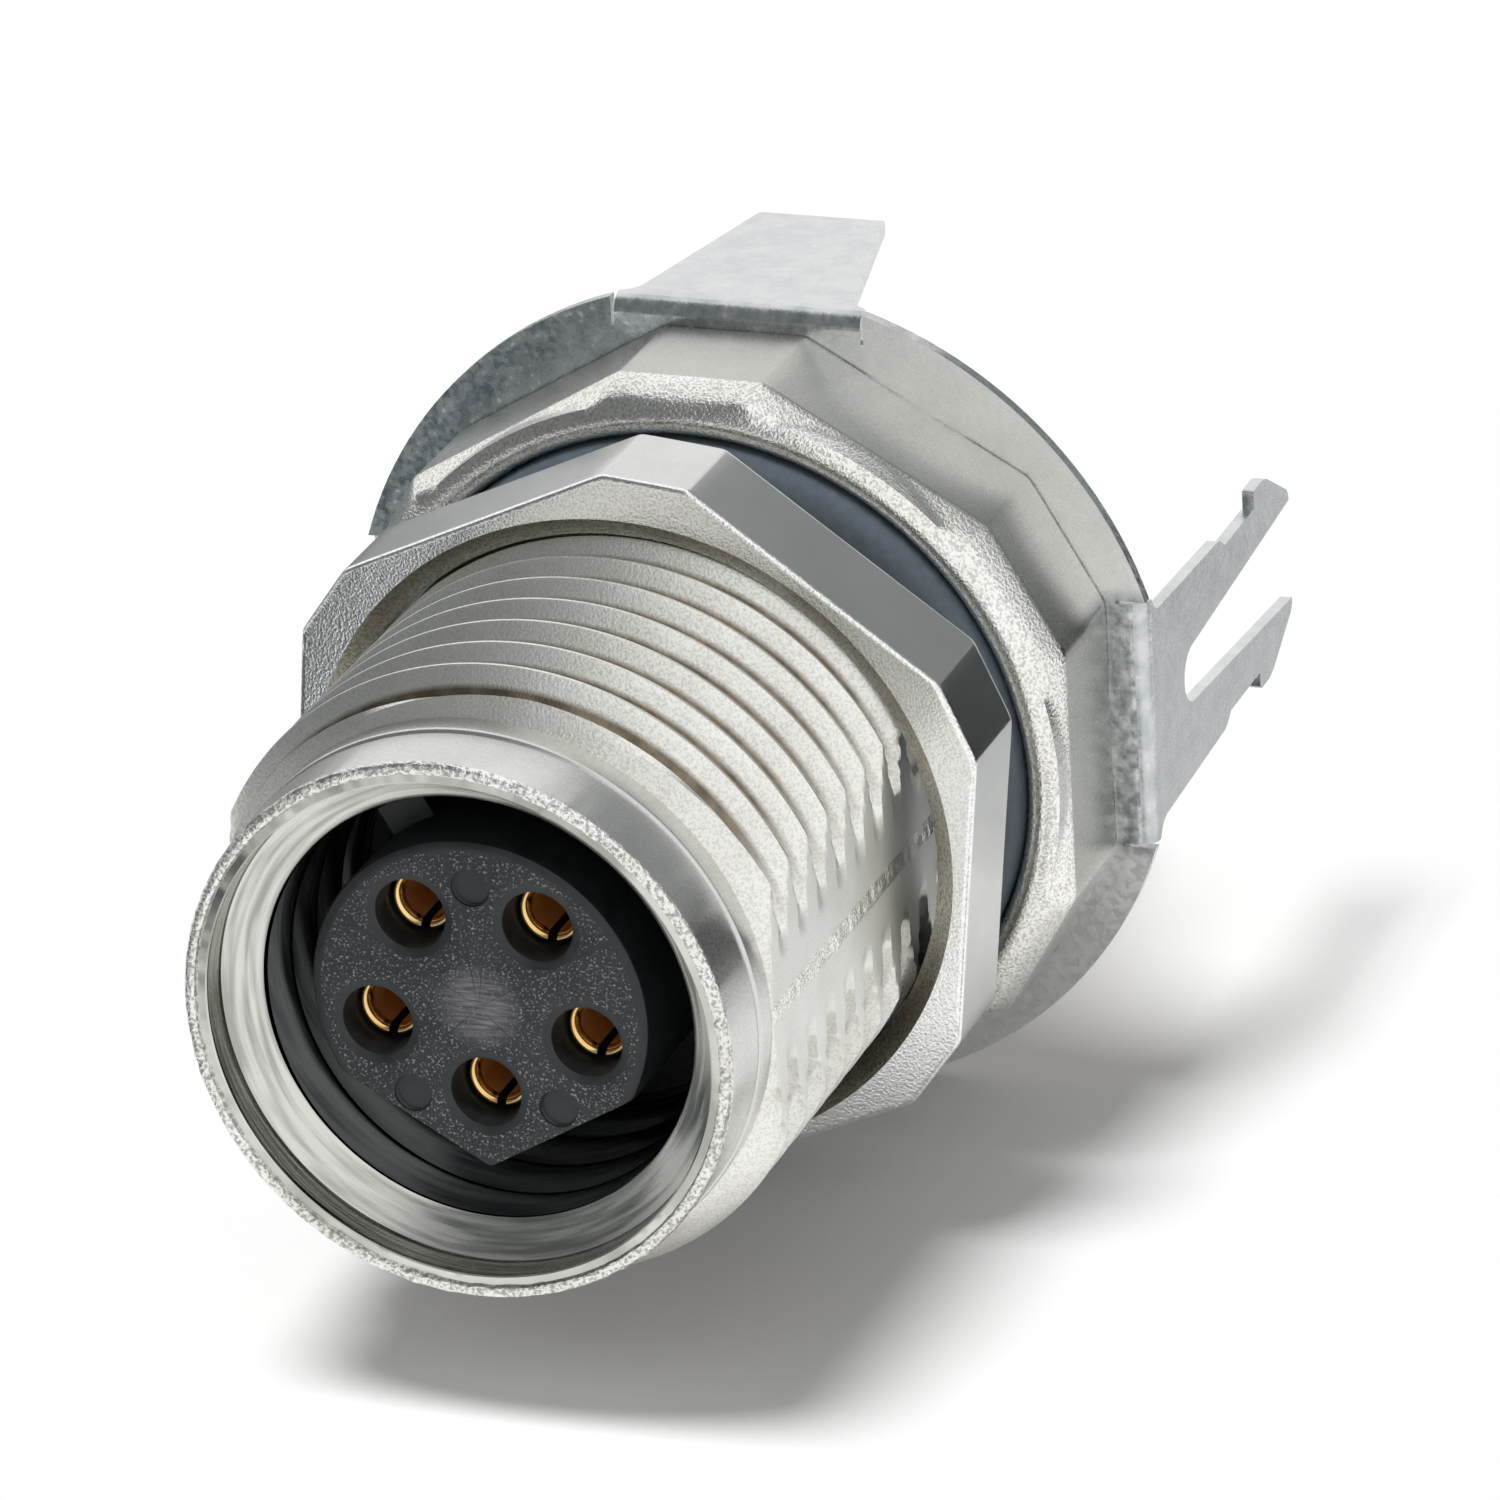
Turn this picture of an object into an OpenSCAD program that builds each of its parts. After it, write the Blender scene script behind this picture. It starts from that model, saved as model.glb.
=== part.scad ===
// Circular sensor connector for mounting in a panel, front fastened with a hexagonal nut.
// The sub-parts are drawn along a local axis z, forward to the mouth, with y up and x to the right.
// Local z = 0 is the panel seat, the front of the flange's bead.

/* [Socket] */
// Nominal diameter of the mating thread inside the mouth
socket_d = 8; // [7:0.1:10]
// Depth of the mating thread, from its nominal diameter in to its core
socket_thread_h = 0.5; // [0.3:0.05:0.6]
// Radial room of the mouth round the mating thread's nominal diameter
mouth_room = 0.08; // [0.04:0.01:0.12]
// Depth of the plain mouth
mouth_depth = 0.5; // [0.3:0.05:1]
// Length of the cone that leads into the mating thread
mouth_cone_h = 0.35; // [0.2:0.05:0.6]
// Width of the step round the mouth
lip_step_w = 0.15; // [0.1:0.01:0.18]
// Depth of the step round the mouth
lip_step_h = 0.08; // [0.04:0.01:0.15]

/* [Barrel] */
// Length from the panel seat to the rim
barrel_h = 10.55; // [10:0.05:14]
// Wall from the mating thread's nominal diameter out to the fastening thread's crest
barrel_wall = 1; // [0.9:0.05:1.6]
// Pitch of the fastening thread
thread_pitch = 0.86; // [0.7:0.01:1]
// Depth of the fastening thread's grooves
thread_h = 0.44; // [0.3:0.01:0.46]
// Width of the fastening thread's crests
crest_w = 0.1; // [0.06:0.01:0.14]
// Depth of the flat along each parting line of the fastening thread
thread_flat_h = 0.5; // [0.3:0.01:0.55]
// Length of the plain neck ahead of the panel seat
neck_h = 0.7; // [0.4:0.05:0.9]
// Depth of the neck below the thread's crest
neck_depth = 0.46; // [0.36:0.01:0.5]
// Length of the collar in front of the thread
collar_h = 1.69; // [1.5:0.01:2.4]
// Depth of the collar below the thread's crest
collar_depth = 0.52; // [0.42:0.01:0.55]
// Length of the lead-in between the collar and the thread's crest
lead_in_h = 0.24; // [0.1:0.01:0.5]
// Length of the finer band next to the rim
rim_h = 1.2; // [0.6:0.05:1.4]
// Depth of the finer band below the collar
rim_depth = 0.04; // [0.02:0.01:0.08]

/* [Flange] */
// Length from the panel seat to the shield plate
flange_h = 2.82; // [2.4:0.02:4]
// Width of the seal's recess round the neck
recess_w = 0.96; // [0.8:0.02:1.2]
// Depth of the seal's recess behind the panel seat
recess_depth = 0.95; // [0.8:0.05:1.3]
// Width of the bead that meets the panel
bead_w = 0.55; // [0.4:0.05:0.7]
// Height of the bead above the flange
bead_h = 0.55; // [0.4:0.05:0.7]
// How far the seal stands proud of the bead
seal_proud = 0.18; // [0.05:0.01:0.25]
// How far the flange's flats stand out past the bead
flange_rim = 0.02; // [0.01:0.01:0.5]
// How far the flange's corner flats stand out past its main flats
flange_corner = 0.25; // [0.1:0.01:0.5]
// Depth of the plate's seat, from the seal's recess in to the spigot
plate_seat_w = 0.63; // [0.4:0.01:0.7]

/* [Rear of the shell] */
// Width of the shoulder that the carrier seats on
carrier_shoulder_w = 0.64; // [0.4:0.02:0.66]
// Distance of that shoulder ahead of the panel seat
carrier_shoulder_at = 5.2; // [4.4:0.1:6]
// Length of the staked lip behind the shield plate
stake_h = 0.3; // [0.2:0.05:0.6]
// How far the staked lip holds the shield plate
stake_w = 0.25; // [0.15:0.05:0.4]

/* [Contact carrier] */
// Radial gap between the carrier's nose and the mating thread's core
nose_gap = 0.75; // [0.6:0.05:0.9]
// Depth of the nose below the rim
nose_depth = 1; // [0.5:0.05:2]
// Depth of the two flats under the nose
nose_flat_h = 0.42; // [0.2:0.02:0.5]
// Length of the carrier's base behind its seat
carrier_base_h = 4; // [3:0.1:4.5]
// Width of the key rib on the nose
key_w = 0.8; // [0.5:0.05:1]
// Height of the key rib
key_h = 0.45; // [0.3:0.05:0.5]
// Distance of the key rib behind the nose's face
key_back = 1.2; // [0.6:0.1:2]
// Angle of the key rib round the nose
key_turn = 120; // [110:1:130]
// Diameter of the ejector dimples in the nose's face
dimple_d = 0.62; // [0.4:0.02:0.7]
// Depth of the ejector dimples
dimple_depth = 0.08; // [0.04:0.01:0.2]
// Distance of the ejector dimples inside the nose's edge
dimple_inset = 0.77; // [0.7:0.01:0.9]
// Distance of the sealing ring behind the carrier's seat
ring_back = 1.95; // [1:0.05:2.4]
// Depth of the sealing ring's groove
ring_groove_h = 0.56; // [0.4:0.02:0.7]

/* [Contacts] */
// Distance of the four upper contacts inside the nose's edge
contact_inset = 0.99; // [0.8:0.01:1.1]
// Distance of the lowest contact inside the nose's edge
low_contact_inset = 1.3; // [1.2:0.01:1.4]
// Diameter of a contact's sleeve
sleeve_d = 1; // [0.9:0.02:1.06]
// Bore of a contact's sleeve
sleeve_bore_d = 0.72; // [0.6:0.02:0.76]
// Depth of that bore
sleeve_bore_h = 3.3; // [2.6:0.1:3.6]
// Distance of a sleeve's end behind the nose's face
sleeve_back = 0.6; // [0.3:0.05:1]
// Width of the slot across a sleeve
sleeve_slot_w = 0.15; // [0.1:0.01:0.2]
// Length of the slot along a sleeve
sleeve_slot_h = 2.2; // [1.5:0.1:2.6]
// Radial room round a sleeve
sleeve_room = 0.06; // [0.03:0.01:0.08]
// How far a contact's collar stands out from its sleeve
contact_collar_w = 0.15; // [0.1:0.01:0.2]
// Length of a contact's collar
contact_collar_h = 0.8; // [0.5:0.05:1.2]
// Diameter of a contact's shank
shank_d = 0.96; // [0.7:0.02:1]
// Diameter of a solder tail
tail_d = 0.6; // [0.4:0.02:0.66]
// Length of a solder tail behind the panel seat
tail_h = 10.2; // [8:0.1:14]
// Length of a solder tail's tapered end
tail_tip_h = 0.4; // [0.2:0.05:0.8]
// Length of the sealing compound behind the carrier
compound_h = 3.6; // [2.5:0.1:4]
// How far a contact's shank stands out of the sealing compound
shank_out = 0.2; // [0.1:0.05:0.5]

/* [Shield plate] */
// How far the plate stands out past the flange's corner flats
plate_rim = 0.72; // [0.5:0.02:1.2]
// Thickness of the sheet
sheet_t = 0.2; // [0.15:0.01:0.3]
// Inside radius of the folds
fold_r = 0.1; // [0.05:0.01:0.2]
// Distance of the lugs' outer faces inside the plate's edge
lug_inset = 0.34; // [0.3:0.02:0.6]
// Distance of a lug's root inside the plate's edge
root_inset = 0.06; // [0.02:0.01:0.2]
// Width of the slits beside a lug's root
slit_w = 0.05; // [0.04:0.01:0.2]
// Length of those slits past the fold
slit_h = 0.2; // [0.1:0.02:0.4]
// Length over which a lug narrows from its root
root_h = 0.35; // [0.2:0.01:0.6]
// Width of a plain lug behind its root
lug_w = 3.6; // [3:0.02:4]
// Width of a plain lug at its end
lug_end_w = 2.18; // [1.6:0.02:2.8]
// Distance of the circuit board behind the flange, where the lugs stop
board_at = 4.16; // [3.4:0.02:6]
// Thickness of the circuit board that the hooks hold
board_t = 1.6; // [1:0.1:2]
// Width of a forked lug behind its root
fork_w = 3.62; // [3.4:0.02:4]
// Width of a forked lug at its shoulders
fork_shoulder_w = 3.34; // [3.1:0.02:3.6]
// Width over a forked lug's prongs
prong_w = 2.94; // [2.6:0.02:3]
// Length of the slope from a shoulder to its prong
shoulder_slope_h = 0.28; // [0.1:0.02:0.5]
// Width over the prongs' hooks
hook_w = 3.56; // [3.2:0.02:3.8]
// Length of a hook's straight edge
hook_edge_h = 0.62; // [0.4:0.02:0.8]
// Length of a hook's slanted end
hook_end_h = 1.25; // [0.8:0.05:2]
// Width over the prongs' ends
prong_end_w = 2.1; // [1.9:0.02:2.4]
// Width of the slot at its round end
slot_w = 0.98; // [0.7:0.02:1.1]
// Width of the slot at the prongs' ends
slot_mouth_w = 1.76; // [1.4:0.02:1.8]
// Distance of the slot's round end behind the flange
slot_h = 2.3; // [1.5:0.05:3]

/* [Hexagonal nut] */
// Wall from the thread's crest out to the flats
nut_wall = 0.64; // [0.4:0.02:1.2]
// How far the corner flats stand out past the main flats
nut_corner = 0.47; // [0.3:0.01:0.7]
// Thickness
nut_h = 1.81; // [1.4:0.01:2.6]
// Radial room round the fastening thread
nut_room = 0.05; // [0.03:0.01:0.1]
// Width and depth of the countersinks
nut_sink = 0.17; // [0.1:0.01:0.25]
// Distance of the nut's back from the panel seat
nut_at = 1.32; // [0.6:0.02:5]
// Angle of the nut on its thread, from the flange's flats
nut_turn = -6; // [-30:1:30]

/* [Clearances] */
// Radial room round pieces that are pushed or cast into place
push_room = 0.02; // [0.01:0.005:0.03]

/* [Hidden] */
$fn = 96;
HEX = 6;
QUARTER = 90;
// Room past a face for a clean cut
cut = 0.5;

socket_r = socket_d / 2;
core_r = socket_r - socket_thread_h;
mouth_r = socket_r + mouth_room;
thread_r = socket_r + barrel_wall;
neck_r = thread_r - neck_depth;
collar_r = thread_r - collar_depth;
rim_r = collar_r - rim_depth;
thread_front = barrel_h - collar_h - lead_in_h;
thread_back = neck_h + neck_depth;
thread_root_r = thread_r - thread_h;
// Each flank leans 30 degrees, half of the angle between two flanks
flank_h = thread_h * tan(30);
groove_count = floor((thread_front - thread_back) / thread_pitch);

recess_r = neck_r + recess_w;
bead_outer_r = recess_r + bead_w;
bead_r = bead_w / 2;
flange_flat_r = bead_outer_r + flange_rim;
flange_corner_r = flange_flat_r + flange_corner;
flange_front = -bead_h;
plate_front = -flange_h;
plate_back = plate_front - sheet_t;
shell_back = plate_back - stake_h;
spigot_r = recess_r - plate_seat_w;
stake_r = spigot_r + stake_w;

rear_bore_r = core_r + carrier_shoulder_w;
base_r = rear_bore_r - push_room;
base_back = carrier_shoulder_at - carrier_base_h;
nose_r = core_r - nose_gap;
nose_front = barrel_h - nose_depth;
groove_floor_r = base_r - ring_groove_h;
ring_section_r = (rear_bore_r - groove_floor_r) / 2 - push_room;
ring_centre_r = (rear_bore_r + groove_floor_r) / 2;
ring_at = carrier_shoulder_at - ring_back;
compound_back = base_back - compound_h;
dimple_angles = [90, -53, -127];

contact_angles = [126, 54, -14, 194];
contact_places = concat(
    [for (a = contact_angles) (nose_r - contact_inset) * [cos(a), sin(a)]],
    [(nose_r - low_contact_inset) * [0, -1]]);
sleeve_front = nose_front - sleeve_back;
sleeve_r = sleeve_d / 2;
contact_collar_r = sleeve_r + contact_collar_w;
shank_front = carrier_shoulder_at - contact_collar_h;
tail_r = tail_d / 2;
sleeve_hole_r = sleeve_r + sleeve_room;
collar_hole_r = contact_collar_r + push_room;

plate_r = flange_corner_r + plate_rim;
lug_face_r = plate_r - lug_inset;
fold_outer_r = fold_r + sheet_t;
fold_line = lug_face_r - fold_outer_r;
root_w = 2 * (sqrt(pow(plate_r, 2) - pow(lug_face_r, 2)) - root_inset);
root_back = fold_outer_r + root_h;
hook_at = board_at + board_t;
fork_end = hook_at + hook_edge_h + hook_end_h;

// Turns the local axis forward, with the mouth towards -Y and +Z up
module installed() {
    rotate([90, 0, 0])
        children();
}

// Six-sided prism from z = 0 with its flats at the given distance from the axis
module hex_prism(flat_r, h) {
    cylinder(r = flat_r / cos(180 / HEX), h = h, $fn = HEX);
}

// Hexagonal prism with a flat on each corner, one main flat facing +x
module blunt_hex(flat_r, corner_r, h) {
    intersection() {
        rotate([0, 0, 180 / HEX])
            hex_prism(flat_r, h);
        hex_prism(corner_r, h);
    }
}

// Outline of one of the fastening thread's grooves, counted back from its front crest
function groove(number) =
    let (front = thread_front - number * thread_pitch, back = front - thread_pitch)
        [
            [thread_r, back],
            [thread_root_r, back + flank_h],
            [thread_root_r, front - crest_w - flank_h],
            [thread_r, front - crest_w]
        ];

// Turned outside of the shell: staked lip, spigot, neck, grooved thread, lead-in, collar and rim
module barrel() {
    rotate_extrude()
        polygon([
            [0, shell_back],
            [stake_r, shell_back],
            [stake_r, plate_back],
            [spigot_r, plate_back],
            [spigot_r, (plate_front - recess_depth) / 2],
            [neck_r, (plate_front - recess_depth) / 2],
            [neck_r, neck_h],
            [thread_r, thread_back],
            for (number = [groove_count - 1 : -1 : 0]) each groove(number),
            [thread_r, thread_front],
            [collar_r, thread_front + lead_in_h],
            [collar_r, barrel_h - rim_h],
            [rim_r, barrel_h - rim_h],
            [rim_r, barrel_h],
            [0, barrel_h]
        ]);
}

// Space through the shell: rear bore, shoulder, thread core, cone, mouth and the step round it
module shell_bore() {
    mouth_floor = barrel_h - lip_step_h - mouth_depth;
    rotate_extrude()
        polygon([
            [0, shell_back - cut],
            [rear_bore_r, shell_back - cut],
            [rear_bore_r, carrier_shoulder_at],
            [core_r, carrier_shoulder_at],
            [core_r, mouth_floor - mouth_cone_h],
            [mouth_r, mouth_floor],
            [mouth_r, barrel_h - lip_step_h],
            [mouth_r + lip_step_w, barrel_h - lip_step_h],
            [mouth_r + lip_step_w, barrel_h + cut],
            [0, barrel_h + cut]
        ]);
}

// Rounded bead on the flange, its crest on the panel seat
module bead() {
    rotate_extrude()
        translate([recess_r + bead_r, 0]) {
            translate([0, -bead_r])
                circle(r = bead_r);
            translate([-bead_r, flange_front - recess_depth / 4])
                square([bead_w, bead_h + recess_depth / 4 - bead_r]);
        }
}

module shell() {
    color("silver")
        installed()
            difference() {
                union() {
                    barrel();
                    bead();
                    translate([0, 0, plate_front])
                        blunt_hex(flange_flat_r, flange_corner_r, flange_h - bead_h);
                }
                rotate_extrude()
                    translate([neck_r, -recess_depth])
                        square([recess_w, recess_depth]);
                for (side = [0, 180])
                    rotate([0, 0, side])
                        translate([thread_r - thread_flat_h, -thread_r, neck_h])
                            cube([thread_r, 2 * thread_r, thread_front + lead_in_h - neck_h]);
                shell_bore();
            }
}

// Nose of the carrier with its two lower flats and the key rib
module carrier_nose() {
    nose_h = nose_front - carrier_shoulder_at;
    translate([0, 0, carrier_shoulder_at]) {
        difference() {
            cylinder(r = nose_r, h = nose_h);
            for (turn = [-60, -120])
                rotate([0, 0, turn])
                    translate([nose_r - nose_flat_h, -nose_r, 0])
                        cube([nose_r, 2 * nose_r, nose_h + cut]);
        }
        rotate([0, 0, key_turn])
            translate([nose_r - key_h, -key_w / 2, 0])
                cube([2 * key_h, key_w, nose_h - key_back]);
    }
}

module contact_carrier() {
    color("dimgray")
        installed()
            difference() {
                union() {
                    carrier_nose();
                    translate([0, 0, base_back])
                        cylinder(r = base_r, h = carrier_base_h);
                }
                rotate_extrude()
                    translate([groove_floor_r, ring_at - ring_section_r - push_room])
                        square([ring_groove_h + cut, 2 * (ring_section_r + push_room)]);
                for (place = contact_places)
                    translate([place.x, place.y, 0]) {
                        translate([0, 0, base_back - cut])
                            cylinder(r = collar_hole_r, h = carrier_base_h + cut);
                        translate([0, 0, carrier_shoulder_at - cut])
                            cylinder(r = sleeve_hole_r, h = nose_front - carrier_shoulder_at + 2 * cut);
                    }
                for (turn = dimple_angles)
                    rotate([0, 0, turn])
                        translate([nose_r - dimple_inset, 0, nose_front - dimple_depth])
                            cylinder(r = dimple_d / 2, h = dimple_depth + cut);
            }
}

module carrier_seal() {
    color("black")
        installed()
            rotate_extrude()
                translate([ring_centre_r, ring_at])
                    circle(r = ring_section_r);
}

module sealing_compound() {
    color("darkslategray")
        installed()
            difference() {
                translate([0, 0, compound_back])
                    cylinder(r = rear_bore_r - push_room, h = compound_h);
                for (place = contact_places)
                    translate([place.x, place.y, compound_back - cut])
                        cylinder(r = shank_d / 2 + push_room, h = compound_h + 2 * cut);
            }
}

// Female contact on its own axis: slotted sleeve, collar, shank and solder tail
module contact_body() {
    difference() {
        rotate_extrude()
            polygon([
                [0, -tail_h],
                [tail_r / 2, -tail_h],
                [tail_r, tail_tip_h - tail_h],
                [tail_r, compound_back - shank_out],
                [shank_d / 2, compound_back - shank_out],
                [shank_d / 2, shank_front],
                [contact_collar_r, shank_front],
                [contact_collar_r, carrier_shoulder_at],
                [sleeve_r, carrier_shoulder_at],
                [sleeve_r, sleeve_front],
                [0, sleeve_front]
            ]);
        translate([0, 0, sleeve_front - sleeve_bore_h])
            cylinder(r = sleeve_bore_d / 2, h = sleeve_bore_h + cut);
        translate([-sleeve_slot_w / 2, -sleeve_d, sleeve_front - sleeve_slot_h])
            cube([sleeve_slot_w, 2 * sleeve_d, sleeve_slot_h + cut]);
    }
}

// Contact of the given number in its place round the axis
module contact(number) {
    place = contact_places[number - 1];
    color("gold")
        installed()
            translate([place.x, place.y, 0])
                contact_body();
}

module contact_1() { contact(1); }
module contact_2() { contact(2); }
module contact_3() { contact(3); }
module contact_4() { contact(4); }
module contact_5() { contact(5); }

// Outline of a plain lug, its length measured back from the plate's front
module plain_outline() {
    polygon([
        [-root_w / 2, fold_outer_r],
        [root_w / 2, fold_outer_r],
        [lug_w / 2, root_back],
        [lug_end_w / 2, board_at],
        [-lug_end_w / 2, board_at],
        [-lug_w / 2, root_back]
    ]);
}

// Half outline of a forked lug: shoulder, prong, hook and slanted end
module fork_half() {
    polygon([
        [0, fold_outer_r],
        [root_w / 2, fold_outer_r],
        [fork_w / 2, root_back],
        [fork_shoulder_w / 2, board_at - shoulder_slope_h],
        [prong_w / 2, board_at],
        [prong_w / 2, hook_at],
        [hook_w / 2, hook_at],
        [hook_w / 2, hook_at + hook_edge_h],
        [prong_end_w / 2, fork_end],
        [0, fork_end]
    ]);
}

// Slot between the prongs, with a round end
module fork_slot() {
    translate([0, slot_h])
        circle(d = slot_w);
    polygon([
        [-slot_w / 2, slot_h],
        [slot_w / 2, slot_h],
        [slot_mouth_w / 2, fork_end],
        [slot_mouth_w / 2, fork_end + cut],
        [-slot_mouth_w / 2, fork_end + cut],
        [-slot_mouth_w / 2, fork_end]
    ]);
}

module fork_outline() {
    difference() {
        union() {
            fork_half();
            mirror([1, 0])
                fork_half();
        }
        fork_slot();
    }
}

// Fold at the plate's top edge and, behind it, a lug cut to the outline given as a child
module folded_lug() {
    translate([0, fold_line, plate_front - fold_outer_r])
        rotate([0, -90, 0])
            rotate_extrude(angle = QUARTER)
                translate([fold_r, -root_w / 2])
                    square([sheet_t, root_w]);
    translate([0, lug_face_r - sheet_t, plate_front])
        rotate([-90, 0, 0])
            linear_extrude(sheet_t)
                children();
}

// What the sheet loses at the plate's top edge to a fold and the slits beside it
module fold_cut() {
    translate([-root_w / 2, fold_line])
        square([root_w, plate_r]);
    for (side = [-1, 1])
        translate([side * (root_w + slit_w) / 2 - slit_w / 2, fold_line - slit_h])
            square([slit_w, plate_r]);
}

module shield_plate() {
    color("lightsteelblue")
        installed() {
            translate([0, 0, plate_back])
                linear_extrude(sheet_t)
                    difference() {
                        circle(r = plate_r);
                        circle(r = spigot_r + push_room);
                        for (side = [0 : 3])
                            rotate(side * QUARTER)
                                fold_cut();
                    }
            for (turn = [0, 180]) {
                rotate([0, 0, turn])
                    folded_lug()
                        plain_outline();
                rotate([0, 0, turn + QUARTER])
                    folded_lug()
                        fork_outline();
            }
        }
}

module flange_seal() {
    seal_w = recess_w - 2 * push_room;
    color("slategray")
        installed()
            rotate_extrude()
                translate([neck_r + recess_w / 2, 0]) {
                    translate([0, seal_proud - seal_w / 2])
                        circle(d = seal_w);
                    translate([-seal_w / 2, -recess_depth])
                        square([seal_w, recess_depth + seal_proud - seal_w / 2]);
                }
}

module hex_nut() {
    hole_r = thread_r + nut_room;
    flat_r = thread_r + nut_wall;
    color("gainsboro")
        installed()
            translate([0, 0, nut_at])
                rotate([0, 0, nut_turn])
                    difference() {
                        blunt_hex(flat_r, flat_r + nut_corner, nut_h);
                        rotate_extrude()
                            polygon([
                                [0, -cut],
                                [hole_r + nut_sink, -cut],
                                [hole_r + nut_sink, 0],
                                [hole_r, nut_sink],
                                [hole_r, nut_h - nut_sink],
                                [hole_r + nut_sink, nut_h],
                                [hole_r + nut_sink, nut_h + cut],
                                [0, nut_h + cut]
                            ]);
                    }
}

shell();
contact_carrier();
carrier_seal();
sealing_compound();
contact_1();
contact_2();
contact_3();
contact_4();
contact_5();
shield_plate();
flange_seal();
hex_nut();
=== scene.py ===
import math

import bpy
from mathutils import Matrix, Vector, noise


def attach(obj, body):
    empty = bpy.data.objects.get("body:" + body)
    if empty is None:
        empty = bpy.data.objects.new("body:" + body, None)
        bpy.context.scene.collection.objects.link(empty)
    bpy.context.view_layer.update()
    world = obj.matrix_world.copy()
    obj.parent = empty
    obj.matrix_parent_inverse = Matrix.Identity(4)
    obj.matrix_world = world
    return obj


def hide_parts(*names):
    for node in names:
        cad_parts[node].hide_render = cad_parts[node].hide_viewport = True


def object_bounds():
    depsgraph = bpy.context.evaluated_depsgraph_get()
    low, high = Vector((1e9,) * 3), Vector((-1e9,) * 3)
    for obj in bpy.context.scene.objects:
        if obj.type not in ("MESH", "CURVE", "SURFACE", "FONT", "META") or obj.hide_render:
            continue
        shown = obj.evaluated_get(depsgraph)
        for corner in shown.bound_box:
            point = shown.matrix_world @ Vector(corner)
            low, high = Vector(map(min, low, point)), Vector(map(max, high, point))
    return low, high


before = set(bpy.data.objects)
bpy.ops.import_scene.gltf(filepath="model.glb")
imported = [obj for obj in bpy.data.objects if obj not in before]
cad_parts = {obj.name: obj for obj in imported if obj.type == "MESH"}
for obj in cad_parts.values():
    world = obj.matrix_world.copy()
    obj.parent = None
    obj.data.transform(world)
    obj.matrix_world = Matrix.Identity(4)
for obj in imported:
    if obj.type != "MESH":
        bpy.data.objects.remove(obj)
cad_box = [list(corner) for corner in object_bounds()]


# Shell: a nickel-plated zinc die casting with the socket mouth, the fastening thread and the flange.
# It is turned in two lengths, front and rear, and the two screw threads are wound in between them.
# Stations are millimetres forward from the panel seat, radii are millimetres from the socket's axis.
MM = 0.001
TURN = 2 * math.pi
STEPS = 360
MERGE = 1e-7
CREST_R, ROOT_R, PITCH = 5.0, 4.557, 0.8625
SCREW_ROOT_R, SCREW_PITCH, SCREW_FADE = 4.0, 1.0, 0.3
NECK_R, NECK_FRONT, THREAD_BACK = 4.54, 0.7, 1.16
COLLAR_R, COLLAR_BACK, THREAD_FRONT = 4.48, 8.86, 8.62
CORE_R, SCREW_BACK, SCREW_FRONT = 3.5, 5.6, 9.56
FLAT_X, FLAT_BACK, FLAT_FRONT = 4.5, 0.72, 8.85
FLANGE_FLAT, FLANGE_CORNER, BEAD_R, BEAD_IN_R = 6.07, 6.32, 6.05, 5.5
MOUTH_R, RIM_BACK, RIM_FRONT = 4.215, 10.42, 10.55
SEAM_HALF, SEAM_H, SEAM_GRAIN = 0.1, 0.014, 0.03
PRESSED, PRESSED_LEAST = 8.0, 7.0


def start_piece(name, place):
    """Starts a piece as one selected point, and stays in edit mode."""
    bpy.ops.object.select_all(action="DESELECT")
    bpy.ops.mesh.primitive_plane_add(size=MM)
    piece = bpy.context.object
    piece.name = name
    piece.data.name = name
    bpy.ops.object.mode_set(mode="EDIT")
    bpy.ops.mesh.select_all(action="SELECT")
    bpy.ops.mesh.merge(type="CENTER")
    bpy.ops.transform.translate(value=place)
    return piece


def draw_outline(name, points):
    """Draws a chain of edges through (radius, station) points, and stays in edit mode."""
    radius, station = points[0]
    piece = start_piece(name, (radius * MM, -station * MM, 0))
    for next_radius, next_station in points[1:]:
        step = ((next_radius - radius) * MM, (station - next_station) * MM, 0)
        bpy.ops.mesh.extrude_region_move(TRANSFORM_OT_translate={"value": step})
        radius, station = next_radius, next_station
    return piece


def close_mesh(piece):
    """Merges what lies together and turns the faces outwards."""
    bpy.context.view_layer.objects.active = piece
    bpy.ops.object.mode_set(mode="EDIT")
    bpy.ops.mesh.select_all(action="SELECT")
    bpy.ops.mesh.remove_doubles(threshold=MERGE)
    bpy.ops.mesh.dissolve_degenerate(threshold=MERGE)
    bpy.ops.mesh.select_all(action="SELECT")
    bpy.ops.mesh.normals_make_consistent(inside=False)
    bpy.ops.object.mode_set(mode="OBJECT")


def turn_outline(name, points, steps=STEPS):
    """Spins an outline about the socket's axis."""
    piece = draw_outline(name, points)
    bpy.ops.mesh.select_all(action="SELECT")
    bpy.ops.mesh.spin(steps=steps, angle=TURN, center=(0, 0, 0), axis=(0, 1, 0))
    bpy.ops.object.mode_set(mode="OBJECT")
    close_mesh(piece)
    return piece


def move_points(piece, rule):
    """Moves each point by a rule on its radius, its station and its angle from +X towards +Z."""
    for point in piece.data.vertices:
        x, y, z = (value / MM for value in point.co)
        radius, station, angle = rule(math.hypot(x, z), -y, math.atan2(z, x))
        point.co = (radius * math.cos(angle) * MM, -station * MM, radius * math.sin(angle) * MM)
    piece.data.update()


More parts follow.
